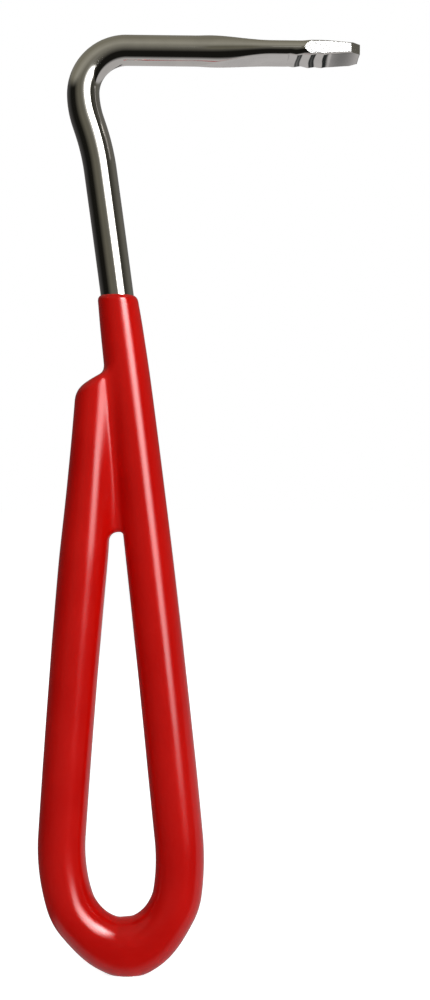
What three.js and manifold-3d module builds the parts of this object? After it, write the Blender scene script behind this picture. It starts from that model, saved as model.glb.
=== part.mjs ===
// Hoof pick: one steel rod bent into a hanging loop, a shank, a crook and a flattened blade,
// with a vinyl grip dipped over the loop and two weld beads that join the rod's tail to its shank.
//
// Millimetres, +Z up, +X towards the blade's tip. The bent rod lies in the plane Y = 0. The origin
// is on the small flat at the lowest point of the grip.

import * as THREE from 'three';
import { mergeVertices } from 'three/addons/utils/BufferGeometryUtils.js';
import Module from 'manifold-3d';

const wasm = await Module();
wasm.setup();

// ---------------------------------------------------------------- driving dimensions

const ROD_RADIUS = 3.175; // quarter-inch rod
const FIT_GAP = 0.25; // between the grip's or a weld bead's inner wall and the rod

// The rod's centreline, from its tail beside the shank, down and round the loop, up the shank,
// over the crook and out to the blade's tip. Angles are in degrees; a positive turn is
// anticlockwise seen from the front (-Y side).
const TAIL = { x: -5.66, z: 112.45, heading: -93 };
const SHANK_LENGTH = 123.4;
const ARM_LENGTH = 44.65;
const BENDS = [
  straight(32.5, -2.2), // tail, set in towards the shank
  straight(53.5, 1.5), // tail leg of the loop, slightly bowed
  arc(34.6, 21), // tail side of the loop's end
  arc(10.7, 154.5), // loop's end
  arc(44.2, 13.7), // shank side of the loop's end
  straight(SHANK_LENGTH, 2.3), // shank leg and neck
  straight(6),
  arc(45.2, 10.8), // set-back below the crook
  straight(1.5),
  arc(17.8, -16.3), // lead into the crook
  arc(8.4, -92.95), // crook
  straight(ARM_LENGTH),
];
const ROD_LENGTH = BENDS.reduce((sum, { length }) => sum + length, 0);
const ARM_START = ROD_LENGTH - ARM_LENGTH;

// The arm is drawn down from the crook on, then pressed flat into the blade.
const ARM_DRAWN_RADIUS = 2.9;
const DRAW_START = ARM_START - 18;
const DRAW_END = ARM_START + 2;
const PRESS_START = ARM_START + 13;
const PRESS_END = ARM_START + 28;
const FLARE_START = ARM_START + 33.4; // where the blade widens past what is left of it after grinding
const FLARE_END = ARM_START + 35.5;
const THIN_START = ARM_START + 36.5;
const PRESS_HALF_THICKNESS = 1.4;
const TIP_HALF_THICKNESS = 0.95;
const PRESSED_HALF_WIDTH = 4.75;
const FLARED_HALF_WIDTH = 5.35; // as pressed, before the sides are ground
const DRAW_STEP = 5.5; // between sections where the arm is drawn down
const PRESS_STEP = 1.3; // between sections along the blade
const PRESS_FLATNESS = 2; // how far the section's flats reach across its width
const PRESS_DROP = 0.3; // the blade's middle sits below the arm's centreline
const BLADE_HALF_WIDTH = 4.9; // over the ground sides
const TIP_CHAMFER = 1.8; // 45 degree corners in plan

// The dipped grip: wall thickness over the rod against distance from the tail.
const LIP_AT = ARM_START - 52.8; // where the coating ends on the neck
const COAT_WALL = [
  [0, 0.68],
  [12, 1],
  [32, 1.55],
  [80, 1.42],
  [96, 1.42],
  [103, 1.6],
  [113, 0.95],
  [123, 1.6],
  [131, 1.5],
  [150, 1.56],
  [190, 1.4],
  [LIP_AT - 16, 1.16],
  [LIP_AT, 0.72],
];
const COAT_PAST_TAIL = 0.95; // thickness of the coating over the rod's cut end
const CAP_ROUND = 1.2; // rounding of the cap over the tail
const LIP_ROUND = 0.55;

// The drip under the loop's end: the coating sags outwards there, and was wiped to a small flat.
const DRIP_AT = 113.4; // distance from the tail, just past the loop's lowest point
const DRIP_SAG = 2.85;
const DRIP_REACH = 10.6; // along the rod, each way
const DRIP_SECTIONS = 12;

// The vinyl web that bridges the rod's tail and shank above the loop's opening.
const WEB_HALF_THICKNESS = 3.85; // over the weld beads
const WEB_THINNED = 0.6; // share of that thickness left at the opening
const WEB_BEVEL = 1.1;
const WEB_BOTTOM = 85.3; // height of the opening's top
const WEB_TAPER_TOP = 103; // height above which the web keeps its full thickness
const WEB_NOTCH_HALF_WIDTH = 2.4;
const SHOULDER_TOP = 117.6; // where the sloping shoulder meets the shank
const SHOULDER_OVERHANG = 2.2; // of the shoulder's outer corner past the tail's centreline

// One weld bead on each side of the joint between tail and shank.
const BEAD_RADII = { x: 2.3, y: 1.3, z: 4.2 };
const BEAD_OFFSET = 1.7; // from the rod's middle plane
const BEAD_BELOW_TAIL = 5; // below the rod's cut end

// Facets: sides of the rod's section, and the most that a bend turns between two sections.
const ROD_SIDES = 24;
const BEAD_SIDES = 16;
const DEGREES_PER_SECTION = 11;
const LONGEST_SECTION = 32;

const PLATED_STEEL = new THREE.MeshStandardMaterial({ color: 0xc2c0b8, roughness: 0.16, metalness: 1 });
const WELD_STEEL = new THREE.MeshStandardMaterial({ color: 0x8d8a84, roughness: 0.5, metalness: 1 });
const RED_VINYL = new THREE.MeshStandardMaterial({ color: 0xb8140c, roughness: 0.18, metalness: 0 });

// ---------------------------------------------------------------- the rod's centreline

function straight(length, turn = 0) {
  return { length, turn };
}

function arc(radius, turn) {
  return { length: radius * THREE.MathUtils.degToRad(Math.abs(turn)), turn };
}

// Position and heading (radians) at a distance from the tail. It runs on straight past both ends.
function placeOnRod(distance) {
  let { x, z } = TAIL;
  let heading = THREE.MathUtils.degToRad(TAIL.heading);
  let left = distance;
  for (const { length, turn } of BENDS) {
    if (left <= 0) break;
    const travelled = Math.min(left, length);
    const turned = (THREE.MathUtils.degToRad(turn) * travelled) / length;
    const chord = turned === 0 ? travelled : (travelled * Math.sin(turned / 2)) / (turned / 2);
    x += chord * Math.cos(heading + turned / 2);
    z += chord * Math.sin(heading + turned / 2);
    heading += turned;
    left -= travelled;
  }
  return { x: x + left * Math.cos(heading), z: z + left * Math.sin(heading), heading };
}

// Distances from the tail at which a bent piece needs a section, between two distances.
function sectionsBetween(from, to) {
  const places = [from];
  let start = 0;
  for (const { length, turn } of BENDS) {
    const steps = Math.ceil(Math.max(Math.abs(turn) / DEGREES_PER_SECTION, length / LONGEST_SECTION));
    for (let step = 0; step < steps; step += 1) {
      const place = start + (length * step) / steps;
      if (place > from + 0.5 && place < to - 0.5) places.push(place);
    }
    start += length;
  }
  places.push(to);
  return places;
}

// ---------------------------------------------------------------- solids

// A closed geometry as a manifold solid: shared corners merged and collapsed triangles dropped.
function toSolid(geometry) {
  const bare = geometry.clone();
  bare.deleteAttribute('normal');
  bare.deleteAttribute('uv');
  const merged = mergeVertices(bare, 1e-4);
  const triangles = [];
  for (let i = 0; i < merged.index.count; i += 3) {
    const [a, b, c] = [0, 1, 2].map((corner) => merged.index.getX(i + corner));
    if (a !== b && b !== c && c !== a) triangles.push(a, b, c);
  }
  const mesh = new wasm.Mesh({
    numProp: 3,
    vertProperties: new Float32Array(merged.attributes.position.array),
    triVerts: new Uint32Array(triangles),
  });
  return new wasm.Manifold(mesh);
}

function toMesh(name, solid, material) {
  const { vertProperties, triVerts } = solid.getMesh();
  const geometry = new THREE.BufferGeometry();
  geometry.setAttribute('position', new THREE.BufferAttribute(vertProperties, 3));
  geometry.setIndex(new THREE.BufferAttribute(triVerts, 1));
  geometry.computeVertexNormals();
  const mesh = new THREE.Mesh(geometry, material);
  mesh.name = name;
  return mesh;
}

// A straight blank turned about the Y axis, from [radius, distance from the tail] pairs.
function turnedBlank(profile) {
  const points = profile.map(([radius, distance]) => new THREE.Vector2(radius, distance));
  return new THREE.LatheGeometry(points, ROD_SIDES);
}

// Bends a straight blank along the rod: its Y axis becomes the centreline, its X axis points to the
// left of the direction of travel (inside the loop, upwards on the arm) and its Z axis becomes +Y.
function bendAlongRod(blank) {
  const { position } = blank.attributes;
  for (let i = 0; i < position.count; i += 1) {
    const { x, z, heading } = placeOnRod(position.getY(i));
    const across = position.getX(i);
    position.setXYZ(i, x - across * Math.sin(heading), position.getZ(i), z + across * Math.cos(heading));
  }
  return blank;
}

function ellipsoid({ x, y, z }, centre, grow = 0) {
  const ball = new THREE.SphereGeometry(1, BEAD_SIDES, BEAD_SIDES / 2);
  ball.scale(x + grow, y + grow, z + grow);
  ball.translate(centre.x, centre.y, centre.z);
  return toSolid(ball);
}

function box(size, centre) {
  const block = new THREE.BoxGeometry(size.x, size.y, size.z);
  block.translate(centre.x, centre.y, centre.z);
  return toSolid(block);
}

// ---------------------------------------------------------------- rod

function drawnRadius(distance) {
  const drawn = THREE.MathUtils.smoothstep(distance, DRAW_START, DRAW_END);
  return THREE.MathUtils.lerp(ROD_RADIUS, ARM_DRAWN_RADIUS, drawn);
}

// Presses the end of a straight blank flat: the section widens and its top and bottom level off.
function pressBlade(blank) {
  const { position } = blank.attributes;
  for (let i = 0; i < position.count; i += 1) {
    const distance = position.getY(i);
    const pressed = THREE.MathUtils.smoothstep(distance, PRESS_START, PRESS_END);
    const flared = THREE.MathUtils.smoothstep(distance, FLARE_START, FLARE_END);
    const towardsTip = THREE.MathUtils.smoothstep(distance, THIN_START, ROD_LENGTH);
    const blade = THREE.MathUtils.lerp(PRESS_HALF_THICKNESS, TIP_HALF_THICKNESS, towardsTip);
    const radius = drawnRadius(distance);
    const halfThickness = THREE.MathUtils.lerp(radius, blade, pressed);
    const pressedWidth = THREE.MathUtils.lerp(radius, PRESSED_HALF_WIDTH, pressed);
    const halfWidth = THREE.MathUtils.lerp(pressedWidth, FLARED_HALF_WIDTH, flared);
    const flatness = THREE.MathUtils.lerp(1, PRESS_FLATNESS, pressed);
    const up = THREE.MathUtils.clamp((position.getX(i) / radius) * flatness, -1, 1);
    const side = position.getZ(i) / radius;
    position.setX(i, up * halfThickness - PRESS_DROP * pressed);
    position.setZ(i, side * halfWidth);
  }
  return blank;
}

// What the grinder takes off: both sides of the blade and the tip's two corners.
function bladeGrinding() {
  const tip = placeOnRod(ROD_LENGTH);
  const depth = 10;
  const tall = { x: 40, y: depth, z: 20 };
  const cuts = [];
  for (const side of [-1, 1]) {
    cuts.push(box(tall, { x: tip.x, y: side * (BLADE_HALF_WIDTH + depth / 2), z: tip.z }));
    const corner = new THREE.BoxGeometry(tall.x, depth, tall.z);
    corner.translate(0, (side * depth) / 2, 0);
    corner.rotateZ(THREE.MathUtils.degToRad(-45 * side));
    corner.translate(tip.x - TIP_CHAMFER, side * BLADE_HALF_WIDTH, tip.z);
    cuts.push(toSolid(corner));
  }
  return cuts.reduce((all, cut) => all.add(cut));
}

function pickRod() {
  const places = sectionsBetween(0, ARM_START);
  for (let place = ARM_START + DRAW_STEP; place < PRESS_START; place += DRAW_STEP) places.push(place);
  for (let place = PRESS_START; place < ROD_LENGTH - PRESS_STEP / 2; place += PRESS_STEP) places.push(place);
  places.push(ROD_LENGTH);
  const profile = places.map((place) => [drawnRadius(place), place]);
  const blank = turnedBlank([[0, 0], ...profile, [0, ROD_LENGTH]]);
  return toSolid(bendAlongRod(pressBlade(blank))).subtract(bladeGrinding());
}

// ---------------------------------------------------------------- weld beads

function weldBead(side, grow = 0) {
  const tail = placeOnRod(BEAD_BELOW_TAIL);
  const shank = placeOnRod(shankDistanceAtHeight(tail.z));
  const centre = { x: (tail.x + shank.x) / 2, y: side * BEAD_OFFSET, z: tail.z };
  return ellipsoid(BEAD_RADII, centre, grow);
}

// Distance from the tail to the point of the shank at a height.
function shankDistanceAtHeight(height) {
  let low = ARM_START - SHANK_LENGTH;
  let high = ARM_START;
  while (high - low > 1e-4) {
    const middle = (low + high) / 2;
    if (placeOnRod(middle).z < height) low = middle;
    else high = middle;
  }
  return low;
}

// The room the rod takes up inside another piece, from just past its tail to a distance.
function rodRoom(end) {
  const radius = ROD_RADIUS + FIT_GAP;
  const profile = sectionsBetween(-FIT_GAP, end).map((place) => [radius, place]);
  return toSolid(bendAlongRod(turnedBlank([[0, -FIT_GAP], ...profile, [0, end]])));
}

// ---------------------------------------------------------------- grip

function coatRadius(distance) {
  const next = Math.max(1, COAT_WALL.findIndex(([place]) => place >= distance));
  const [fromPlace, fromWall] = COAT_WALL[next - 1];
  const [toPlace, toWall] = COAT_WALL[next];
  const along = THREE.MathUtils.smoothstep(distance, fromPlace, toPlace);
  return ROD_RADIUS + THREE.MathUtils.lerp(fromWall, toWall, along);
}

// How far the coating's outer side sags at a distance from the tail.
function dripSag(distance) {
  const fromLowest = Math.min(Math.abs(distance - DRIP_AT) / DRIP_REACH, 1);
  return DRIP_SAG * Math.cos((fromLowest * Math.PI) / 2) ** 2;
}

// Pulls the outer side of a straight blank outwards where the drip hangs.
function sagDrip(blank) {
  const { position } = blank.attributes;
  for (let i = 0; i < position.count; i += 1) {
    const distance = position.getY(i);
    const across = position.getX(i);
    if (across < 0) position.setX(i, across * (1 + dripSag(distance) / coatRadius(distance)));
  }
  return blank;
}

// Distances from the tail at which the coating needs a section, in order and not crowded.
function coatSections(from, to) {
  const places = [...sectionsBetween(from, to), ...COAT_WALL.map(([place]) => place)];
  for (let step = 1 - DRIP_SECTIONS; step < DRIP_SECTIONS; step += 2) {
    places.push(DRIP_AT + (DRIP_REACH * step) / DRIP_SECTIONS);
  }
  const inside = places.filter((place) => place >= from && place <= to).sort((a, b) => a - b);
  const spaced = inside.filter((place, i) => i === 0 || place - inside[i - 1] > 0.8);
  if (spaced.at(-1) < to) spaced.push(to);
  return spaced;
}

// The dipped coating's outside, from its cap over the tail to its lip on the neck.
function coatOutside() {
  const profile = [[0, -COAT_PAST_TAIL]];
  for (const angle of [0, 30, 60, 90]) {
    const turned = THREE.MathUtils.degToRad(angle);
    const inwards = CAP_ROUND * (1 - Math.sin(turned));
    const along = CAP_ROUND * (1 - Math.cos(turned));
    profile.push([coatRadius(0) - inwards, along - COAT_PAST_TAIL]);
  }
  for (const place of coatSections(CAP_ROUND, LIP_AT - LIP_ROUND)) {
    profile.push([coatRadius(place), place]);
  }
  profile.push([coatRadius(LIP_AT) - 0.2, LIP_AT - 0.15], [coatRadius(LIP_AT) - LIP_ROUND + 0.15, LIP_AT]);
  profile.push([0, LIP_AT]);
  return toSolid(bendAlongRod(sagDrip(turnedBlank(profile))));
}

// The web's outline seen from the front: the opening's rounded top below, the shoulder above.
function webOutline() {
  const tail = placeOnRod(TAIL.z - WEB_BOTTOM);
  const shank = placeOnRod(shankDistanceAtHeight(WEB_BOTTOM));
  const neck = placeOnRod(shankDistanceAtHeight(SHOULDER_TOP)).x - ROD_RADIUS;
  const middle = (tail.x + shank.x) / 2;
  const foot = WEB_BOTTOM - 1;
  const shape = new THREE.Shape();
  shape.moveTo(tail.x, foot);
  shape.lineTo(middle - WEB_NOTCH_HALF_WIDTH, foot);
  shape.quadraticCurveTo(middle, WEB_BOTTOM + 1.9, middle + WEB_NOTCH_HALF_WIDTH, foot);
  shape.lineTo(shank.x, foot);
  shape.lineTo(neck + ROD_RADIUS, SHOULDER_TOP + 1);
  shape.lineTo(neck - 0.9, SHOULDER_TOP + 1);
  shape.quadraticCurveTo(neck - 1, SHOULDER_TOP - 0.9, neck - 2.6, SHOULDER_TOP - 2);
  shape.lineTo(TAIL.x - SHOULDER_OVERHANG, TAIL.z + COAT_PAST_TAIL);
  shape.lineTo(TAIL.x - SHOULDER_OVERHANG, TAIL.z - 2);
  shape.closePath();
  return shape;
}

// The web between tail and shank, thinner towards the loop's opening.
function web() {
  const geometry = new THREE.ExtrudeGeometry(webOutline(), {
    depth: 2 * (WEB_HALF_THICKNESS - WEB_BEVEL),
    bevelThickness: WEB_BEVEL,
    bevelSize: WEB_BEVEL,
    bevelOffset: -WEB_BEVEL,
    bevelSegments: 2,
    curveSegments: 5,
  });
  geometry.translate(0, 0, WEB_BEVEL - WEB_HALF_THICKNESS);
  geometry.rotateX(Math.PI / 2);
  const { position } = geometry.attributes;
  for (let i = 0; i < position.count; i += 1) {
    const full = THREE.MathUtils.smoothstep(position.getZ(i), WEB_BOTTOM, WEB_TAPER_TOP);
    position.setY(i, position.getY(i) * THREE.MathUtils.lerp(WEB_THINNED, 1, full));
  }
  return toSolid(geometry);
}

function vinylGrip() {
  const beads = weldBead(-1, FIT_GAP).add(weldBead(1, FIT_GAP));
  const room = rodRoom(LIP_AT + 5).add(beads);
  const wiped = box({ x: 40, y: 40, z: 10 }, { x: 0, y: 0, z: -5 });
  return coatOutside().add(web()).subtract(room).subtract(wiped);
}

// ---------------------------------------------------------------- assembly

const rod = pickRod();
const roomForRod = rodRoom(LIP_AT);

const pick = new THREE.Group();
pick.name = 'hoof_pick';
pick.add(
  toMesh('pick_rod', rod, PLATED_STEEL),
  toMesh('weld_bead_front', weldBead(-1).subtract(roomForRod), WELD_STEEL),
  toMesh('weld_bead_back', weldBead(1).subtract(roomForRod), WELD_STEEL),
  toMesh('vinyl_grip', vinylGrip(), RED_VINYL),
);

export default pick;
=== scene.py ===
"""Looks of the hoof pick: a plated steel rod and its dipped vinyl grip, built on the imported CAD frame.

Shapes are worked out in millimetres in the frame's own axes (+X to the blade's tip, +Y away from
the camera, +Z up) and turned into metres when a mesh is made. "Along" is always the distance along
the rod's centreline from its tail, beside the shank, to the blade's tip.
"""

import itertools
import math

import bmesh
import bpy
import numpy as np
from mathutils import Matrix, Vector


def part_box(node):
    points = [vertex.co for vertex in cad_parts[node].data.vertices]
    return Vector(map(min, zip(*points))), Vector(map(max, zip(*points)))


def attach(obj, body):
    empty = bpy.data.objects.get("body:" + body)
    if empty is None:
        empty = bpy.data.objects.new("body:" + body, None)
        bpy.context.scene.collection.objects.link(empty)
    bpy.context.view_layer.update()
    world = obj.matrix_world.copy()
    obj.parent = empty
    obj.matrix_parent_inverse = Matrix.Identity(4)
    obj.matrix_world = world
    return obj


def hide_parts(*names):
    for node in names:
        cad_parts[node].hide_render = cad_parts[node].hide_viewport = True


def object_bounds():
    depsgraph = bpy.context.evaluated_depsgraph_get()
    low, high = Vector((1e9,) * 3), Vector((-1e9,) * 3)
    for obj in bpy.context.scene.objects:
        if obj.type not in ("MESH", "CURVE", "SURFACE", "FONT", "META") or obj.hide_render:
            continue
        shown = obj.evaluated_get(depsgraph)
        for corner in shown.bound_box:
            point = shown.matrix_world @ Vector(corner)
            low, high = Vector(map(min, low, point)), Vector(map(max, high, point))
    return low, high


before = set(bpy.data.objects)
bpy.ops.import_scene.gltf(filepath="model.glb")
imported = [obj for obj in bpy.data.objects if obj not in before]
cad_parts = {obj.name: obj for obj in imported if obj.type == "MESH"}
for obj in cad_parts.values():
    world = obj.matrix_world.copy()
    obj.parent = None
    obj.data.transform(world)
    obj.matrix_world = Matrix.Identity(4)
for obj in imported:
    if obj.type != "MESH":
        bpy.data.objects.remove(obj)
cad_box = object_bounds()

MM = 0.001

# ---- rod, with the CAD's own sizes
ROD_RADIUS = 3.175
DRAWN_RADIUS = 2.9  # of the arm, past the crook
DRAW_FROM, DRAW_TO = -18.0, 2.0  # past the arm's start
PRESS_FROM, PRESS_TO = 13.0, 28.0  # past the arm's start
PRESS_HALF_THICKNESS = 1.4
TIP_HALF_THICKNESS = 0.95
PRESSED_HALF_WIDTH = 4.75
FLARE_FROM, FLARE_TO = 33.4, 35.5  # past the arm's start
FLARED_HALF_WIDTH = 5.35  # as pressed, before the sides were ground
THIN_FROM = 36.5
PRESS_FLATNESS = 2.0  # more makes more of the pressed section's width flat
PRESS_DROP = 0.3
BLADE_HALF_WIDTH = 4.9
TIP_CHAMFER = 1.8
TIP_SHORT = 0.02  # how far the tip stays inside the CAD's

# ---- rod, details that only the looks have
PRESSED_EDGE = 0.1  # rounding of the flats, as a share of their height
END_BEVEL = 0.14  # rounding of the two cut ends
SLIVER = 0.005  # faces thinner than this are closed up
CORNER_SATIN_AND_HIGHLIGHT = 0.1  # the tip's corners are ground finer than the blade's sides, and get less of the sides' painted near-white highlight
HAMMER_PITCH = 2.65  # between the ripples that pressing left under the blade
HAMMER_DEPTH = 0.085
HAMMER_FADE_IN = (30.6, 31.8)  # past the arm's start
HAMMER_FADE_OUT = (37.6, 39.2)  # past the arm's start
HAMMER_FIRST = 31.0  # past the arm's start
ROD_SIDES = 128
ROD_STEP = 0.5  # between sections in view
HIDDEN_STEP = 1.6  # between sections inside the grip
SEEN_BEFORE_LIP = 4.0  # where the finer sections begin
TIP_RUN = 0.5  # the last of the blade, in TIP_SECTIONS even steps
TIP_SECTIONS = 6
BLADE_STEP = 0.16

# ---- grip
LIP_BEFORE_ARM = 52.8  # from the lip to the arm's start
WALL = (  # distance along, thickness
    (0, 0.68), (12, 1.0), (32, 1.55), (80, 1.42), (96, 1.42), (103, 1.6), (113, 0.95), (123, 1.6),
    (131, 1.5), (150, 1.56), (190, 1.4),
)
WALL_NEAR_LIP = ((-16, 1.16), (-5, 0.9), (-0.4, 0.62))  # distance from the lip, thickness
WALL_STEP = 0.5
WALL_SMOOTHING = 21  # steps that the thickness is evened out over
RUN_ON_TAIL = 9.0  # how far the tail's and the shank's coating is drawn before it is cut off
RUN_ON_SHANK = 6.0
DRIP_AT = 113.4
DRIP_SAG = 2.85
DRIP_REACH = 10.6
SHOULDER_PAST_TAIL = 2.8  # where the sloping end of the tail's coating crosses the tail's axis
SHOULDER_SLOPE = math.radians(29.6)
SHOULDER_ROUND = 2.0
SHOULDER_FILLET = 0.9
LIP_ROUND = 1.3
WEB_BOTTOM = 85.3
WEB_TOP = 108.0  # from here up the web has its full thickness
WEB_EDGE = 1.1  # half thickness at its bottom edge
WEB_FULL = 2.5  # half thickness from WEB_TOP up
WEB_INSET = 1.5  # its sides stay this far inside the two centrelines
WEB_EDGE_ROUND = 1.0
WEB_SIDE_ROUND = 0.8
WEB_TAIL_FILLET = 1.8
WEB_SHANK_FILLET = 0.6
FOOT_ROUND = 0.05
CAVITY_GAP = 0.04
VOXEL = 0.32
WAVINESS = 0.006
WAVE_PITCHES = (9.0, 13.0, 21.0)


# ---------------------------------------------------------------- numbers

def smooth_step(value, low, high):
    t = np.clip((value - low) / (high - low), 0, 1)
    return t * t * (3 - 2 * t)


def blend(low, high, share):
    return low + (high - low) * share


def smooth_min(a, b, reach):
    """The smaller of two values, rounded off where they are within reach of each other."""
    share = np.maximum(reach - np.abs(a - b), 0) / reach
    return np.minimum(a, b) - share * share * reach / 4


def smooth_max(a, b, reach):
    return -smooth_min(-a, -b, reach)


# ---------------------------------------------------------------- the rod's centreline

def merged_mesh(node):
    """A CAD node's corners in millimetres with split corners merged, and its triangles."""
    mesh = node.data
    corners = np.empty(len(mesh.vertices) * 3)
    mesh.vertices.foreach_get("co", corners)
    corners = corners.reshape(-1, 3) / MM
    keys, index = np.unique(corners.round(3), axis=0, return_inverse=True)
    mesh.calc_loop_triangles()
    triangles = np.empty(len(mesh.loop_triangles) * 3, int)
    mesh.loop_triangles.foreach_get("vertices", triangles)
    points = np.zeros_like(keys)
    points[index.ravel()] = corners
    return points, index.ravel()[triangles].reshape(-1, 3)


def corner_normals(points, triangles):
    a, b, c = (points[triangles[:, i]] for i in range(3))
    across = np.cross(b - a, c - a)
    total = np.zeros_like(points)
    for i in range(3):
        np.add.at(total, triangles[:, i], across)
    return total / np.maximum(np.linalg.norm(total, axis=1, keepdims=True), 1e-12)


def front_ridge(node):
    """Corners of the CAD rod that lie right in front of its centreline, from the tail to the blade."""
    points, triangles = merged_mesh(node)
    normals = corner_normals(points, triangles)
    full = np.abs(points[:, 1] + ROD_RADIUS) < 2e-3
    ridge = full | (normals[:, 1] < -0.98)
    links = {}
    for pair in ((0, 1), (1, 2), (2, 0)):
        for a, b in triangles[:, pair]:
            if ridge[a] and ridge[b]:
                links.setdefault(a, set()).add(b)
                links.setdefault(b, set()).add(a)
    ends = [i for i, others in links.items() if len(others) == 1]
    walk = [min(ends, key=lambda i: points[i, 2])]
    while True:
        onward = [i for i in links[walk[-1]] if i not in walk]
        if not onward:
            break
        nearest = min(onward, key=lambda i: np.linalg.norm(points[i] - points[walk[-1]]))
        if points[nearest, 1] < points[walk[-1], 1] - 1e-3:
            break  # the blade has begun: its section widens again
        walk.append(nearest)
    return points[walk][:, [0, 2]]


class Centreline:
    """Straights and round arcs through the CAD rod's sections, in the plane of the bends."""

    def __init__(self, sections):
        chords = np.diff(sections, axis=0)
        directions = np.unwrap(np.arctan2(chords[:, 1], chords[:, 0]))
        headings = [directions[-1]]
        for direction in directions[::-1]:
            headings.append(2 * direction - headings[-1])
        self.headings = np.array(headings[::-1])
        half_turns = np.diff(self.headings) / 2
        self.lengths = np.hypot(*chords.T) / np.sinc(half_turns / np.pi)
        self.starts = np.concatenate([[0], np.cumsum(self.lengths)])
        self.sections = sections
        straight = np.abs(half_turns) < 1e-3
        last_bend = np.nonzero(~straight)[0][-1]
        self.arm_start = self.starts[last_bend + 1]

    def place(self, along):
        """x, z and heading (radians) at distances along; it runs on straight past both ends."""
        along = np.asarray(along, float)
        last = len(self.lengths) - 1
        span = np.clip(np.searchsorted(self.starts, along, side="right") - 1, 0, last)
        travelled = along - self.starts[span]
        inside = (along >= 0) & (along <= self.starts[-1])
        turn = np.where(inside, self.headings[span + 1] - self.headings[span], 0)
        heading = np.where(along > self.starts[-1], self.headings[-1], self.headings[span])
        turned = turn * travelled / self.lengths[span]
        chord = travelled * np.sinc(turned / 2 / np.pi)
        x = self.sections[span, 0] + chord * np.cos(heading + turned / 2)
        z = self.sections[span, 1] + chord * np.sin(heading + turned / 2)
        return x, z, heading + turned


class Leg:
    """A run of the centreline, as samples that a point of its plane can be measured from."""

    STEP = 0.2

    def __init__(self, line, start, end):
        self.along = np.arange(start, end, self.STEP)
        self.x, self.z, self.heading = line.place(self.along)
        self.curve = np.gradient(self.heading, self.STEP)

    def measure(self, x, z):
        """Outward offset from the centreline and distance along it, for points of the plane."""
        offset, along = np.empty_like(x), np.empty_like(x)
        for part in range(0, len(x), 4096):
            px, pz = x[part:part + 4096], z[part:part + 4096]
            away = (px[:, None] - self.x) ** 2 + (pz[:, None] - self.z) ** 2
            near = away.argmin(1)
            heading = self.heading[near]
            dx, dz = px - self.x[near], pz - self.z[near]
            forward = dx * np.cos(heading) + dz * np.sin(heading)
            outward = dx * np.sin(heading) - dz * np.cos(heading)
            forward_arc = forward / np.maximum(1 + outward * self.curve[near], 0.3)
            bulge = 0.5 * self.curve[near] * forward_arc ** 2
            past_end = np.abs(forward) > 2 * self.STEP
            reach = np.where(past_end, np.hypot(outward, forward), np.abs(outward + bulge))
            offset[part:part + 4096] = np.where(outward < 0, -reach, reach)
            along[part:part + 4096] = self.along[near] + np.where(past_end, 0, forward_arc)
        return offset, along


# ---------------------------------------------------------------- meshes

def make_mesh(name, points, faces, smooth_angle):
    mesh = bpy.data.meshes.new(name)
    mesh.from_pydata((np.asarray(points) * MM).tolist(), [], faces)
    mesh.validate()
    mesh.shade_smooth()
    mesh.set_sharp_from_angle(angle=smooth_angle)
    piece = bpy.data.objects.new(name, mesh)
    bpy.context.scene.collection.objects.link(piece)
    return piece


def swept_faces(rings, sides):
    """Quads between neighbouring rings of corners, and a flat face over each end."""
    faces = []
    for ring in range(rings - 1):
        for side in range(sides):
            after = (side + 1) % sides
            low, high = ring * sides, (ring + 1) * sides
            faces.append((low + side, high + side, high + after, low + after))
    faces.append(tuple(range(sides)))
    faces.append(tuple((rings - 1) * sides + side for side in range(sides))[::-1])
    return faces


def carve(piece, tool):
    """Takes tool out of piece for good, and removes the tool."""
    cut = piece.modifiers.new("carve", "BOOLEAN")
    cut.operation = "DIFFERENCE"
    cut.solver = "MANIFOLD"
    cut.object = tool
    graph = bpy.context.evaluated_depsgraph_get()
    carved = bpy.data.meshes.new_from_object(piece.evaluated_get(graph))
    piece.modifiers.clear()
    old, piece.data = piece.data, carved
    bpy.data.meshes.remove(old)
    spent = tool.data
    bpy.data.objects.remove(tool)
    bpy.data.meshes.remove(spent)


# ---------------------------------------------------------------- rod

def rod_section(line, along, angles, length):
    """Offsets (up from the centreline in the bends' plane, across it) round one section."""
    past = along - line.arm_start
    radius = blend(ROD_RADIUS, DRAWN_RADIUS, smooth_step(past, DRAW_FROM, DRAW_TO))
    pressed = smooth_step(past, PRESS_FROM, PRESS_TO)
    thinned = smooth_step(past, THIN_FROM, length - line.arm_start)
    blade = blend(PRESS_HALF_THICKNESS, TIP_HALF_THICKNESS, thinned)
    half_height = blend(radius, blade, pressed)
    half_width = blend(radius, PRESSED_HALF_WIDTH, pressed)
    half_width = blend(half_width, FLARED_HALF_WIDTH, smooth_step(past, FLARE_FROM, FLARE_TO))
    flatness = blend(1, PRESS_FLATNESS, pressed)
    up = np.cos(angles) * flatness
    if pressed > 0:
        rounding = PRESSED_EDGE * pressed + 1e-6
        up = smooth_max(smooth_min(up, 1, rounding), -1, rounding)
    across = np.sin(angles) * half_width
    height = up * half_height - PRESS_DROP * pressed
    return height + hammer_marks(past, up, across), across


def hammer_marks(past, up, across):
    """Ripples across the underside of the blade, fading out at both ends of their run."""
    fading = smooth_step(past, *HAMMER_FADE_IN) * (1 - smooth_step(past, *HAMMER_FADE_OUT))
    turn = 2 * np.pi * (past - HAMMER_FIRST) / HAMMER_PITCH
    turn += 0.35 * np.sin(across * 0.55 + past * 0.4)
    wave = np.cos(turn) + np.cos(3 * turn) / 9
    return HAMMER_DEPTH * fading * wave * smooth_step(-up, -0.2, 0.9)


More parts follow.
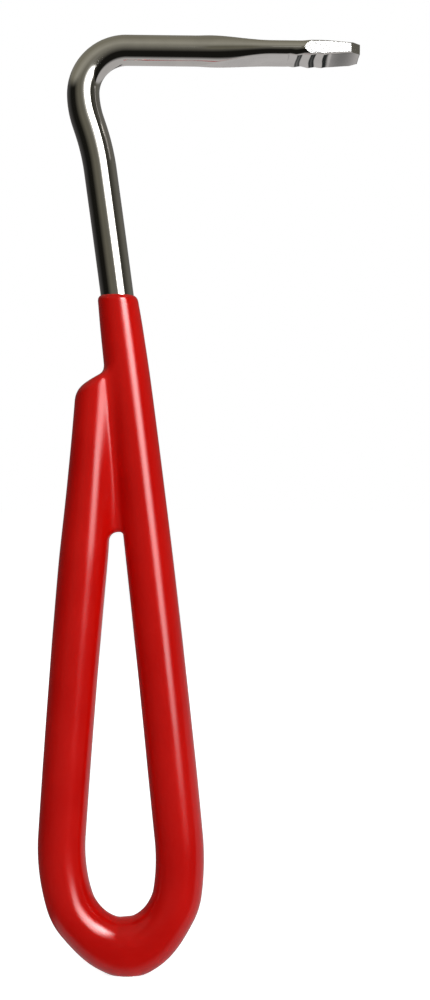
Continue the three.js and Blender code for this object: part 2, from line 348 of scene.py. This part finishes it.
def rod_stations(line, length, lip_at):
    """Distances along at which the rod's sections stand, closer together in view."""
    seen_from = lip_at - SEEN_BEFORE_LIP
    blade_from = line.arm_start + PRESS_FROM
    tip_from = length - TIP_RUN
    hidden = np.arange(0, seen_from, HIDDEN_STEP)
    seen = np.arange(seen_from, blade_from, ROD_STEP)
    blade = np.arange(blade_from, tip_from, BLADE_STEP)
    near_tip = np.linspace(tip_from, length, TIP_SECTIONS, endpoint=False)
    return np.concatenate([hidden[1:], seen, blade, near_tip])


def bevelled(end, direction):
    """Extra stations that round a cut end: (distance along, how far the section shrinks)."""
    steps = np.linspace(0, np.pi / 2, 5)
    back = END_BEVEL * (1 - np.sin(steps))
    shrink = END_BEVEL * (1 - np.cos(steps))
    return list(zip(end - direction * back, shrink))


def rod_piece(line, length, lip_at):
    """The whole rod as one closed sweep, ground at the blade."""
    angles = np.arange(ROD_SIDES) * 2 * np.pi / ROD_SIDES
    between = rod_stations(line, length, lip_at)
    inner = [(along, 0.0) for along in between if END_BEVEL < along < length - END_BEVEL]
    stations = bevelled(0.0, -1)[::-1] + inner + bevelled(length, 1)
    points = []
    for along, shrink in stations:
        height, across = rod_section(line, along, angles, length)
        size = np.maximum(np.hypot(height, across), 1e-6)
        keep = 1 - shrink / size
        height, across = height * keep, across * keep
        x, z, heading = line.place(along)
        ring = np.stack([x - height * np.sin(heading), across, z + height * np.cos(heading)], 1)
        points.append(ring)
    faces = swept_faces(len(stations), ROD_SIDES)
    piece = make_mesh("plated_rod", np.concatenate(points), faces, math.radians(40))
    for tool in grinding(line, length):
        carve(piece, tool)
    store_lay(piece, line, length)
    mark_ground(piece, line, length)
    return piece


def grinding(line, length):
    """What the grinder takes off: slabs beside the blade, and the tip's two corners."""
    x, z, heading = line.place(length)
    for side in (-1, 1):
        edge = side * BLADE_HALF_WIDTH
        near, far = sorted((edge, edge + side * 5))
        yield slab((x - 30, near, z - 10), (x + 5, far, z + 10), 0, (0, 0))
        corner_x = x - TIP_CHAMFER * math.cos(heading)
        near, far = sorted((edge, edge + side * 6))
        low, high = (corner_x - 12, near, z - 10), (corner_x + 12, far, z + 10)
        yield slab(low, high, -side * math.radians(45), (corner_x, edge))


def slab(low, high, turn, pivot):
    """A box, turned about an upright line through pivot (x, y)."""
    corners = np.array(list(itertools.product(*zip(low, high))), float)
    faces = [(0, 1, 3, 2), (4, 6, 7, 5), (0, 4, 5, 1), (2, 3, 7, 6), (0, 2, 6, 4), (1, 5, 7, 3)]
    away = corners[:, :2] - pivot
    cos, sin = math.cos(turn), math.sin(turn)
    corners[:, 0] = pivot[0] + away[:, 0] * cos - away[:, 1] * sin
    corners[:, 1] = pivot[1] + away[:, 0] * sin + away[:, 1] * cos
    return make_mesh("slab", corners, faces, math.radians(40))


def store_lay(piece, line, length):
    """Keeps each corner's place in the straight rod (mm), which the draw lines follow."""
    mesh = piece.data
    points = np.empty(len(mesh.vertices) * 3)
    mesh.vertices.foreach_get("co", points)
    points = points.reshape(-1, 3) / MM
    outward, along = Leg(line, 0, length).measure(points[:, 0], points[:, 2])
    attribute = mesh.attributes.new("lay", "FLOAT_VECTOR", "POINT")
    attribute.data.foreach_set("vector", np.stack([outward, points[:, 1], along], 1).ravel())


def mark_ground(piece, line, length):
    """Says how satin each ground face is left and how much painted near-white highlight it gets, and
    creases the edges round them.
    """
    mesh = piece.data
    ground = np.zeros(len(mesh.polygons))
    blade_from = line.place(line.arm_start + PRESS_TO)[0] * MM
    for index, face in enumerate(mesh.polygons):
        if face.center.x < blade_from:
            continue
        sideways = abs(face.normal.y)
        if sideways > 0.9999:
            ground[index] = 1.0
        elif abs(sideways - math.sqrt(0.5)) < 1e-3 and abs(face.normal.z) < 1e-3:
            ground[index] = CORNER_SATIN_AND_HIGHLIGHT
    # this value also sets each face's painted near-white highlight in the plated steel
    attribute = mesh.attributes.new("ground", "FLOAT", "FACE")
    attribute.data.foreach_set("value", ground)
    beside = {}
    for index, face in enumerate(mesh.polygons):
        for edge in face.edge_keys:
            beside.setdefault(edge, set()).add(float(ground[index]))
    creases = [len(beside[edge.key]) == 2 for edge in mesh.edges]
    mesh.shade_smooth()
    mesh.set_sharp_from_angle(angle=math.radians(40))
    sharp = mesh.attributes.get("sharp_edge") or mesh.attributes.new("sharp_edge", "BOOLEAN", "EDGE")
    flags = np.zeros(len(mesh.edges), bool)
    sharp.data.foreach_get("value", flags)
    sharp.data.foreach_set("value", flags | np.array(creases))
    mesh.name = piece.name


# ---------------------------------------------------------------- grip

class GripShape:
    """The coating as one smooth field: negative inside the vinyl, zero on its skin (mm)."""

    def __init__(self, line, lip_at):
        self.tail = Leg(line, -RUN_ON_TAIL, DRIP_AT)
        self.shank = Leg(line, DRIP_AT - Leg.STEP, lip_at + RUN_ON_SHANK)
        wall = list(WALL) + [(lip_at + back, thick) for back, thick in WALL_NEAR_LIP]
        knots, walls = np.array(wall).T
        self.fine = np.arange(-10, lip_at + 8, WALL_STEP)
        rough = np.interp(self.fine, knots, walls)
        window = np.hanning(WALL_SMOOTHING)
        padded = np.pad(rough, WALL_SMOOTHING // 2, mode="edge")
        self.radius = ROD_RADIUS + np.convolve(padded, window / window.sum(), "valid")
        self.end = line.place(-SHOULDER_PAST_TAIL)
        self.lip_z = line.place(lip_at)[1]
        self.waves = np.random.default_rng(7).uniform(0, 2 * np.pi, (6, 3))

    def plane_part(self, x, z):
        """Everything about points of the bends' plane that doesn't depend on depth."""
        tail_offset, tail_along = self.tail.measure(x, z)
        shank_offset, shank_along = self.shank.measure(x, z)
        return x, z, tail_offset, tail_along, shank_offset, shank_along

    def tube(self, offset, along, depth):
        radius = np.interp(along, self.fine, self.radius)
        near = np.clip(np.abs(along - DRIP_AT) / DRIP_REACH, 0, 1)
        sag = DRIP_SAG * np.cos(near * np.pi / 2) ** 2
        stretched = np.where(offset > 0, offset / (1 + sag / radius), offset)
        return np.hypot(stretched, depth) - radius

    def value(self, plane, depth):
        x, z, tail_offset, tail_along, shank_offset, shank_along = plane
        tail = self.tube(tail_offset, tail_along, depth)
        shank = self.tube(shank_offset, shank_along, depth)
        rise = smooth_step(z, WEB_BOTTOM - 2, WEB_TOP)
        height = np.clip((z - WEB_BOTTOM) / (WEB_TOP - WEB_BOTTOM), 0, 1)
        half = blend(WEB_EDGE, WEB_FULL, height ** 0.7)
        web = smooth_max(np.abs(depth) - half, WEB_BOTTOM - z, WEB_EDGE_ROUND)
        between = np.maximum(tail_offset, shank_offset)
        web = smooth_max(web, between + WEB_INSET, WEB_SIDE_ROUND)
        left = smooth_min(tail, web, WEB_TAIL_FILLET)
        end_x, end_z, _ = self.end
        above = (z - end_z) * math.cos(SHOULDER_SLOPE) - (x - end_x) * math.sin(SHOULDER_SLOPE)
        left = smooth_max(left, above, SHOULDER_ROUND)
        shank = smooth_max(shank, z - self.lip_z, LIP_ROUND)
        both = smooth_min(left, shank, WEB_SHANK_FILLET + SHOULDER_FILLET * rise)
        both = smooth_max(both, -z, FOOT_ROUND)
        return both + self.ripple(x, depth, z)

    def ripple(self, x, y, z):
        """The slight waviness that dipping leaves."""
        total = 0
        for pitch, phase in zip(WAVE_PITCHES, self.waves):
            turn = 2 * np.pi / pitch
            total = total + np.sin(x * turn + phase[0]) * np.sin(z * turn * 0.6 + phase[1])
            total = total + np.sin(y * turn + phase[2]) * np.sin(z * turn * 0.8 + phase[0])
        return WAVINESS * total / 3

    def at(self, points):
        return self.value(self.plane_part(points[:, 0], points[:, 2]), points[:, 1])

    def slope(self, points, reach=0.02):
        """Value and gradient at points, by central differences."""
        x, y, z = points.T
        here = self.plane_part(x, z)
        value = self.value(here, y)
        by_depth = (self.value(here, y + reach) - self.value(here, y - reach)) / (2 * reach)
        by_x = (self.value(self.plane_part(x + reach, z), y) - value) / reach
        by_z = (self.value(self.plane_part(x, z + reach), y) - value) / reach
        return value, np.stack([by_x, by_depth, by_z], 1)


def surface_net(values, origin, step):
    """A closed quad mesh of the zero surface: one corner in every cell that the surface crosses."""
    cells = np.array(values.shape) - 1
    weight = np.array([cells[1] * cells[2], cells[2], 1])
    total = np.zeros((cells.prod(), 3))
    count = np.zeros(cells.prod())
    quads = []
    for axis in range(3):
        low = np.take(values, range(cells[axis]), axis)
        high = np.take(values, range(1, cells[axis] + 1), axis)
        edges = np.argwhere((low < 0) != (high < 0))
        a, b = low[tuple(edges.T)], high[tuple(edges.T)]
        crossing = edges.astype(float)
        crossing[:, axis] += a / (a - b)
        second, third = (axis + 1) % 3, (axis + 2) % 3
        corners = []
        for back_second, back_third in ((1, 1), (0, 1), (0, 0), (1, 0)):
            cell = edges.copy()
            cell[:, second] -= back_second
            cell[:, third] -= back_third
            number = cell @ weight
            corners.append(number)
            count += np.bincount(number, minlength=len(count))
            for k in range(3):
                total[:, k] += np.bincount(number, crossing[:, k], minlength=len(count))
        quad = np.stack(corners, 1)
        quad[a > 0] = quad[a > 0][:, ::-1]
        quads.append(quad)
    used = np.nonzero(count)[0]
    renumber = np.full(len(count), -1)
    renumber[used] = np.arange(len(used))
    points = origin + step * total[used] / count[used, None]
    return points, renumber[np.concatenate(quads)]


def settle_on_skin(points, quads, shape, rounds=4):
    """Evens the mesh out and puts its corners exactly on the skin."""
    pairs = np.concatenate([quads[:, [i, (i + 1) % 4]] for i in range(4)])
    links = np.bincount(pairs[:, 0], minlength=len(points))
    for _ in range(rounds):
        value, slope = shape.slope(points)
        steep = np.maximum((slope ** 2).sum(1, keepdims=True), 1e-6)
        points = points - value[:, None] * slope / steep
        mean = np.stack(
            [np.bincount(pairs[:, 0], points[pairs[:, 1], k], len(points)) for k in range(3)], 1
        ) / links[:, None]
        normal = slope / np.sqrt(steep)
        shift = mean - points
        points = points + 0.5 * (shift - (shift * normal).sum(1, keepdims=True) * normal)
    value, slope = shape.slope(points)
    steep = np.maximum((slope ** 2).sum(1, keepdims=True), 1e-6)
    return points - value[:, None] * slope / steep


def grip_skin(line, lip_at):
    """The outside of the coating, as if it were solid."""
    shape = GripShape(line, lip_at)
    low, high = (np.array(corner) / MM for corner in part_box("vinyl_grip"))
    low, high = low - 3 * VOXEL, high + 3 * VOXEL
    axes = [np.arange(a, b + VOXEL, VOXEL) for a, b in zip(low, high)]
    grid_x, grid_z = np.meshgrid(axes[0], axes[2], indexing="ij")
    plane = shape.plane_part(grid_x.ravel(), grid_z.ravel())
    layers = [shape.value(plane, np.full(grid_x.size, y)).reshape(grid_x.shape) for y in axes[1]]
    points, quads = surface_net(np.stack(layers, 1), low, VOXEL)
    points = settle_on_skin(points, quads, shape)
    points[:, 2] = np.maximum(points[:, 2], 0)
    return make_mesh("dipped_grip", points, quads.tolist(), math.radians(60))


def rod_room(line, lip_at):
    """What the rod takes out of the grip: the rod a little larger, run on past the lip."""
    angles = np.arange(48) * 2 * np.pi / 48
    points = []
    stations = np.concatenate([[-0.1, 0], np.arange(1, lip_at + 4, 0.8)])
    for along in stations:
        radius = ROD_RADIUS + CAVITY_GAP
        x, z, heading = line.place(along)
        up, across = radius * np.cos(angles), radius * np.sin(angles)
        points.append(np.stack([x - up * np.sin(heading), across, z + up * np.cos(heading)], 1))
    faces = swept_faces(len(stations), len(angles))
    return make_mesh("rod_room", np.concatenate(points), faces, math.radians(40))


def bead_room(node):
    """What a weld bead takes out of the grip: the CAD's bead, a little larger."""
    points, triangles = merged_mesh(node)
    centre = (points.min(0) + points.max(0)) / 2
    span = points.max(0) - points.min(0)
    grown = centre + (points - centre) * (1 + 2 * CAVITY_GAP / span)
    return make_mesh("bead_room", grown, triangles.tolist(), math.radians(40))


def close_slivers(piece):
    """Closes up the faces that the cuts left too thin to see."""
    mesh = bmesh.new()
    mesh.from_mesh(piece.data)
    bmesh.ops.remove_doubles(mesh, verts=mesh.verts, dist=SLIVER * MM)
    bmesh.ops.triangulate(mesh, faces=[face for face in mesh.faces if len(face.verts) > 4])
    bmesh.ops.dissolve_degenerate(mesh, dist=SLIVER * MM, edges=mesh.edges)
    bmesh.ops.triangulate(mesh, faces=[face for face in mesh.faces if len(face.verts) > 4])
    mesh.to_mesh(piece.data)
    mesh.free()


def grip_piece(line, lip_at):
    """The vinyl coating, with its rooms for the rod and the two weld beads cut out."""
    grip = grip_skin(line, lip_at)
    carve(grip, rod_room(line, lip_at))
    for bead in ("weld_bead_front", "weld_bead_back"):
        carve(grip, bead_room(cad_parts[bead]))
    close_slivers(grip)
    grip.data.shade_smooth()
    grip.data.set_sharp_from_angle(angle=math.radians(50))
    grip.data.name = grip.name
    return grip


# ---------------------------------------------------------------- materials

def linear(shade):
    """A 0 to 255 display brightness as light."""
    value = shade / 255
    return value / 12.92 if value <= 0.04045 else ((value + 0.055) / 1.055) ** 2.4


class Wiring:
    """Short calls for building a node tree."""

    def __init__(self, tree):
        self.tree = tree
        tree.nodes.clear()

    def add(self, kind, inputs=None, **settings):
        made = self.tree.nodes.new("ShaderNode" + kind)
        for name, value in settings.items():
            setattr(made, name, value)
        for key, value in (inputs or {}).items():
            if isinstance(value, bpy.types.NodeSocket):
                self.tree.links.new(value, made.inputs[key])
            else:
                made.inputs[key].default_value = value
        return made

    def math(self, operation, *values):
        made = self.add("Math", dict(enumerate(values)), operation=operation)
        return made.outputs[0]

    def between(self, value, low, high, low_out=0.0, high_out=1.0):
        inputs = {"Value": value, "From Min": low, "From Max": high}
        inputs |= {"To Min": low_out, "To Max": high_out}
        made = self.add("MapRange", inputs, interpolation_type="SMOOTHSTEP")
        return made.outputs["Result"]

    def mix(self, share, first, second):
        made = self.add("Mix", data_type="RGBA")
        sockets = (made.inputs[0], made.inputs[6], made.inputs[7])
        for socket, value in zip(sockets, (share, first, second)):
            if isinstance(value, bpy.types.NodeSocket):
                self.tree.links.new(value, socket)
            else:
                socket.default_value = value
        return made.outputs[2]

    def ramp(self, value, stops):
        made = self.add("ValToRGB", {"Fac": value})
        elements = made.color_ramp.elements
        while len(elements) < len(stops):
            elements.new(1.0)
        for element, (place, colour) in zip(elements, stops):
            element.position = place
            element.color = colour
        return made.outputs["Color"]

    def noise(self, vector, scale, detail=2.0, rough=0.5):
        inputs = {"Vector": vector, "Scale": scale, "Detail": detail, "Roughness": rough}
        return self.add("TexNoise", inputs).outputs["Fac"]

    def stretch(self, vector, scale):
        return self.add("Mapping", {"Vector": vector, "Scale": scale}).outputs["Vector"]


def new_material(name):
    material = bpy.data.materials.new(name)
    material.use_nodes = True
    return material, Wiring(material.node_tree)


def plated_steel():
    """Bright nickel over drawn rod: lines along the draw, a few scratches, satin where it was ground, and
    a painted near-white highlight on the ground faces.
    """
    material, w = new_material("plated_steel")
    lay = w.add("Attribute", attribute_name="lay").outputs["Vector"]
    drawn = w.noise(w.stretch(lay, (1.6, 1.6, 0.02)), 1.0, 3.0)
    wrinkle = w.noise(w.stretch(lay, (0.22, 0.22, 0.05)), 1.0, 2.0)
    handling = w.noise(w.stretch(lay, (0.9, 5.0, 0.9)), 1.0, 4.0, 0.7)
    scratch = w.between(handling, 0.66, 0.7)
    place = w.add("NewGeometry").outputs["Position"]
    cloud = w.noise(place, 160.0, 4.0, 0.6)
    ground = w.add("Attribute", attribute_name="ground").outputs["Fac"]
    polish = w.between(cloud, 0.3, 0.75, 0.055, 0.11)
    polish = w.math("ADD", polish, w.math("MULTIPLY", scratch, 0.07))
    rough = w.math("ADD", polish, w.math("MULTIPLY", ground, 0.3))
    tint = w.mix(w.between(cloud, 0.35, 0.7), (0.74, 0.72, 0.675, 1), (0.68, 0.66, 0.62, 1))
    height = w.math("ADD", w.math("MULTIPLY", drawn, 0.002), w.math("MULTIPLY", wrinkle, 0.012))
    height = w.math("SUBTRACT", height, w.math("MULTIPLY", scratch, 0.0012))
    bump = w.add("Bump", {"Height": height, "Distance": 0.001, "Strength": 0.6})
    # painted highlight: the ground faces are turned near white and part matt, standing in for the bright
    # reflection of the softbox
    tint = w.mix(ground, tint, (0.97, 0.97, 0.965, 1))
    metal = w.between(ground, 0.0, 1.0, 1.0, 0.35)
    inputs = {"Base Color": tint, "Metallic": metal, "Roughness": rough, "Normal": bump.outputs["Normal"]}
    shader = w.add("BsdfPrincipled", inputs)
    w.add("OutputMaterial", {"Surface": shader.outputs[0]})
    return material


def weld_steel():
    """Plating over the weld bead: satin, with fine scale and a dull tint."""
    material, w = new_material("weld_steel")
    place = w.add("NewGeometry").outputs["Position"]
    scale = w.noise(place, 2400.0, 5.0, 0.65)
    tint = w.mix(w.between(scale, 0.35, 0.7), (0.5, 0.48, 0.45, 1), (0.3, 0.28, 0.25, 1))
    bump = w.add("Bump", {"Height": scale, "Distance": 0.0001, "Strength": 0.7})
    rough = w.between(scale, 0.3, 0.7, 0.3, 0.55)
    inputs = {"Base Color": tint, "Metallic": 1.0, "Roughness": rough, "Normal": bump.outputs["Normal"]}
    shader = w.add("BsdfPrincipled", inputs)
    w.add("OutputMaterial", {"Surface": shader.outputs[0]})
    return material


def red_vinyl():
    """Dipped PVC: a glossy skin with faint orange peel and dust, and depth in its red."""
    material, w = new_material("red_vinyl")
    place = w.add("NewGeometry").outputs["Position"]
    cloud = w.noise(place, 70.0, 3.0)
    peel = w.noise(place, 900.0, 2.0)
    dust = w.noise(place, 5200.0, 3.0, 0.7)
    speck = w.between(dust, 0.70, 0.74)
    red = w.mix(w.between(cloud, 0.3, 0.7), (0.58, 0.003, 0.0015, 1), (0.64, 0.0045, 0.002, 1))
    red = w.mix(w.math("MULTIPLY", speck, 0.25), red, (0.7, 0.12, 0.09, 1))
    rough = w.math("ADD", w.between(cloud, 0.3, 0.7, 0.17, 0.22), w.math("MULTIPLY", speck, 0.15))
    height = w.math("ADD", w.math("MULTIPLY", peel, 0.006), w.math("MULTIPLY", dust, 0.0004))
    bump = w.add("Bump", {"Height": height, "Distance": 0.001, "Strength": 0.7})
    inputs = {"Base Color": red, "Roughness": rough, "IOR": 1.46, "Normal": bump.outputs["Normal"]}
    shader = w.add("BsdfPrincipled", inputs)
    w.add("OutputMaterial", {"Surface": shader.outputs[0]})
    return material


def dress(piece, material):
    piece.data.materials.clear()
    piece.data.materials.append(material)


# ---------------------------------------------------------------- studio

OLIVE = (1.0, 0.95, 0.75)
WARM = (1.0, 0.965, 0.83)
LILAC = (1.0, 0.975, 0.99)
MIRROR = 0.69  # share of the light that the plating gives back
FILL = (0.22, 0.22, 0.22, 1)
DARK_PANEL = (0.022, 0.025, 0.026, 1)
KEY_POWER = 2.3
BACK_POWER = 0.9
LIGHT_AWAY = 0.6  # metres from the pick's middle
LIGHT_SIZE = 0.35
FLOOR_GLOW = 0.83  # lifts the floor to near white for the camera alone
FLOOR_REACH = 12.0
FLOOR_DROP = 0.00003  # keeps the floor clear of the foot of the loop
CAMERA_AWAY = 0.300
CAMERA_AT = (0.0174, 0.0915)  # metres across and up
VIEW_TALL = 0.193  # metres that the picture's height takes in at the pick

# Edges in the reflected room, in degrees: (value where it is 0, value where it is 1), and after
# those, where given, the two values that it goes between instead.
SOFTBOX_LEFT = (7.0, 30.0)
SOFTBOX_RIGHT = (58.0, 38.0)
SOFTBOX_FOOT = (0.0, 5.0)
SOFTBOX_FOOT_DROPS_FROM = 19.0  # the foot's edge slopes down to the right from here
SOFTBOX_FOOT_DROPS_FOR = 9.0
SOFTBOX_FOOT_SLOPE = 0.74
SOFTBOX_TOP = (46.0, 30.0)
SOFTBOX_POWER = (-2.0, 36.0, 7.8, 30.0)
HALO_LEFT = (-4.0, 11.0, 0.0, 0.9)
HALO_RIGHT = (62.0, 46.0)
HALO_TOP = (21.0, 14.0)
SIDE_LIFT = (-75.0, -35.0, 25.0, -9.0)  # by angle round: how far the side room's foot is moved
SIDE_LOWER = (5.0, 45.0, 0.0, 20.0)  # by angle round: how far its top is moved
SIDE_FOOT = (-14.0, -5.0)
SIDE_TOP = (30.0, 18.0)
SIDE_FRONT = (5.0, 16.0)
SIDE_BACK = (172.0, 160.0)
PANEL_LEFT = (166.5, 168.5)
PANEL_RIGHT = (175.5, 171.5)
PANEL_FOOT = (-46.0, -36.0)
PANEL_TOP = (-6.0, -11.0)

# The room that the polished pieces reflect: angle in degrees, brightness as displayed, tint. It is a
# pale floor, a dark band in front of the bench, a soft light overhead and dim walls.
FLOOR_SHADE = 160
DARK_SHADE = 20
CEILING_SHADE = 110
OVERHEAD_SHADE = 135
WALL_SHADE = 90
ROOM_BY_HEIGHT = (
    # 0 is level on the camera's side, 90 straight up, 180 level behind, -90 straight down
    (-180, FLOOR_SHADE, LILAC), (-80, FLOOR_SHADE, LILAC), (-60, DARK_SHADE, WARM),
    (-20, DARK_SHADE, WARM), (45, OVERHEAD_SHADE, WARM), (90, CEILING_SHADE, OLIVE),
    (150, CEILING_SHADE, WARM), (180, FLOOR_SHADE, LILAC),
)
ROOM_AROUND = (
    # 0 is towards the camera, positive to its right
    (-180, WALL_SHADE, LILAC), (-90, DARK_SHADE, WARM), (-60, DARK_SHADE, OLIVE),
    (-30, WALL_SHADE, OLIVE), (30, WALL_SHADE, OLIVE), (60, 2 * DARK_SHADE, OLIVE),
    (110, WALL_SHADE, WARM), (180, WALL_SHADE, LILAC),
)


def room_stops(room):
    stops = []
    for angle, shade, tint in room:
        light = linear(shade) / MIRROR
        stops.append(((angle + 180) / 360, (*(light * share for share in tint), 1)))
    return stops


def softbox(w, around, height):
    """A large soft light, to the right of the camera and up from just below the pick's level."""
    sides = w.math("MULTIPLY", w.between(around, *SOFTBOX_LEFT), w.between(around, *SOFTBOX_RIGHT))
    rightward = w.math("SUBTRACT", around, SOFTBOX_FOOT_DROPS_FROM)
    rightward = w.math("MINIMUM", rightward, SOFTBOX_FOOT_DROPS_FOR)
    slant = w.math("MULTIPLY", rightward, SOFTBOX_FOOT_SLOPE)
    over_edge = w.between(w.math("ADD", height, slant), *SOFTBOX_FOOT)
    ends = w.math("MULTIPLY", over_edge, w.between(height, *SOFTBOX_TOP))
    power = w.between(height, *SOFTBOX_POWER)
    panel = w.math("MULTIPLY", power, w.math("POWER", sides, 1.5))
    halo = w.math("MULTIPLY", w.between(around, *HALO_LEFT), w.between(around, *HALO_RIGHT))
    halo = w.math("MULTIPLY", halo, w.between(height, *HALO_TOP))
    return w.math("MULTIPLY", w.math("ADD", panel, halo), ends)


def studio_world(scene):
    """White to the camera, an even fill to matt surfaces, and the room to polished ones."""
    world = bpy.data.worlds.new("studio")
    scene.world = world
    world.use_nodes = True
    w = Wiring(world.node_tree)
    direction = w.add("TexCoord").outputs["Generated"]
    split = w.add("SeparateXYZ", {"Vector": direction})
    x, y, z = (split.outputs[axis] for axis in "XYZ")
    toward = w.math("MULTIPLY", y, -1.0)
    around = w.math("DEGREES", w.math("ARCTAN2", x, toward))
    over = w.math("DEGREES", w.math("ARCTAN2", z, toward))
    height = w.math("DEGREES", w.math("ARCSINE", z))
    ramps = []
    for angle, room in ((over, ROOM_BY_HEIGHT), (around, ROOM_AROUND)):
        ramps.append(w.ramp(w.math("DIVIDE", w.math("ADD", angle, 180.0), 360.0), room_stops(room)))
    lifted = w.math("ADD", height, w.between(around, *SIDE_LIFT))
    lowered = w.math("SUBTRACT", height, w.between(around, *SIDE_LOWER))
    level = w.math("MULTIPLY", w.between(lifted, *SIDE_FOOT), w.between(lowered, *SIDE_TOP))
    apart = w.math("ABSOLUTE", around)
    aside = w.math("MULTIPLY", w.between(apart, *SIDE_FRONT), w.between(apart, *SIDE_BACK))
    room = w.mix(w.math("MULTIPLY", level, aside), ramps[0], ramps[1])
    behind = w.math("MULTIPLY", w.between(around, *PANEL_LEFT), w.between(around, *PANEL_RIGHT))
    under = w.math("MULTIPLY", w.between(height, *PANEL_FOOT), w.between(height, *PANEL_TOP))
    room = w.mix(w.math("MULTIPLY", behind, under), room, DARK_PANEL)
    lit = w.add("VectorMath", {0: room, 1: softbox(w, around, height)}, operation="ADD").outputs[0]
    rays = w.add("LightPath").outputs
    matt = w.mix(rays["Is Glossy Ray"], FILL, lit)
    seen = w.mix(rays["Is Camera Ray"], matt, (1, 1, 1, 1))
    shader = w.add("Background", {"Color": seen, "Strength": 1.0})
    w.add("OutputWorld", {"Surface": shader.outputs[0]})


def soft_light(scene, name, around, height, power):
    """A square area light that only matt surfaces see, aimed at the middle of the pick."""
    low, high = cad_box
    middle = (low + high) / 2
    around, height = math.radians(around), math.radians(height)
    data = bpy.data.lights.new(name, "AREA")
    data.size = LIGHT_SIZE
    data.energy = power
    lamp = bpy.data.objects.new(name, data)
    level = math.cos(height)
    direction = (math.sin(around) * level, -math.cos(around) * level, math.sin(height))
    lamp.location = [m + LIGHT_AWAY * d for m, d in zip(middle, direction)]
    to_pick = middle - lamp.location
    lamp.rotation_euler = to_pick.to_track_quat("-Z", "Y").to_euler()
    lamp.visible_glossy = False
    lamp.visible_camera = False
    scene.collection.objects.link(lamp)


def pale_floor(scene):
    data = bpy.data.meshes.new("floor")
    outline = ((-1, -1), (1, -1), (1, 1), (-1, 1))
    corners = [(x * FLOOR_REACH, y * FLOOR_REACH, -FLOOR_DROP) for x, y in outline]
    data.from_pydata(corners, [], [(0, 1, 2, 3)])
    floor = bpy.data.objects.new("floor", data)
    scene.collection.objects.link(floor)
    material, w = new_material("pale_floor")
    matt = w.add("BsdfDiffuse", {"Color": (0.8, 0.8, 0.8, 1)})
    seen = w.add("LightPath").outputs["Is Camera Ray"]
    glow = w.add("Emission", {"Color": (1, 1, 1, 1), "Strength": w.math("MULTIPLY", seen, FLOOR_GLOW)})
    both = w.add("AddShader", {0: matt.outputs[0], 1: glow.outputs[0]})
    w.add("OutputMaterial", {"Surface": both.outputs[0]})
    floor.data.materials.append(material)
    floor.visible_glossy = False


def camera_in_front(scene):
    """Level and square on to the plane of the bends, about 0.3 m away."""
    data = bpy.data.cameras.new("camera")
    data.sensor_fit = "VERTICAL"
    data.sensor_height = 24.0
    data.clip_start = 0.01
    data.lens = data.sensor_height * CAMERA_AWAY / VIEW_TALL
    camera = bpy.data.objects.new("camera", data)
    camera.location = (CAMERA_AT[0], -CAMERA_AWAY, CAMERA_AT[1])
    camera.rotation_euler = (math.radians(90), 0, 0)
    scene.collection.objects.link(camera)
    scene.camera = camera


# ---------------------------------------------------------------- the scene

centreline = Centreline(front_ridge(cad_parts["pick_rod"]))
tip_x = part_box("pick_rod")[1].x / MM
arm_x, arm_z, arm_heading = centreline.place(centreline.arm_start)
tip_rise = TIP_HALF_THICKNESS * abs(math.sin(arm_heading))
arm_reach = (tip_x - tip_rise - TIP_SHORT - arm_x) / math.cos(arm_heading)
rod_length = centreline.arm_start + arm_reach
lip_at = centreline.arm_start - LIP_BEFORE_ARM

rod = rod_piece(centreline, rod_length, lip_at)
dress(rod, plated_steel())
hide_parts("pick_rod")
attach(rod, "root")

grip = grip_piece(centreline, lip_at)
dress(grip, red_vinyl())
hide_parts("vinyl_grip")
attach(grip, "root")

weld = weld_steel()
for bead_name in ("weld_bead_front", "weld_bead_back"):
    for material_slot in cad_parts[bead_name].material_slots:
        material_slot.material = weld

stage = bpy.context.scene
stage.view_settings.view_transform = "Standard"
studio_world(stage)
soft_light(stage, "key", 30, 22, KEY_POWER)
soft_light(stage, "back", 200, 25, BACK_POWER)
pale_floor(stage)
camera_in_front(stage)
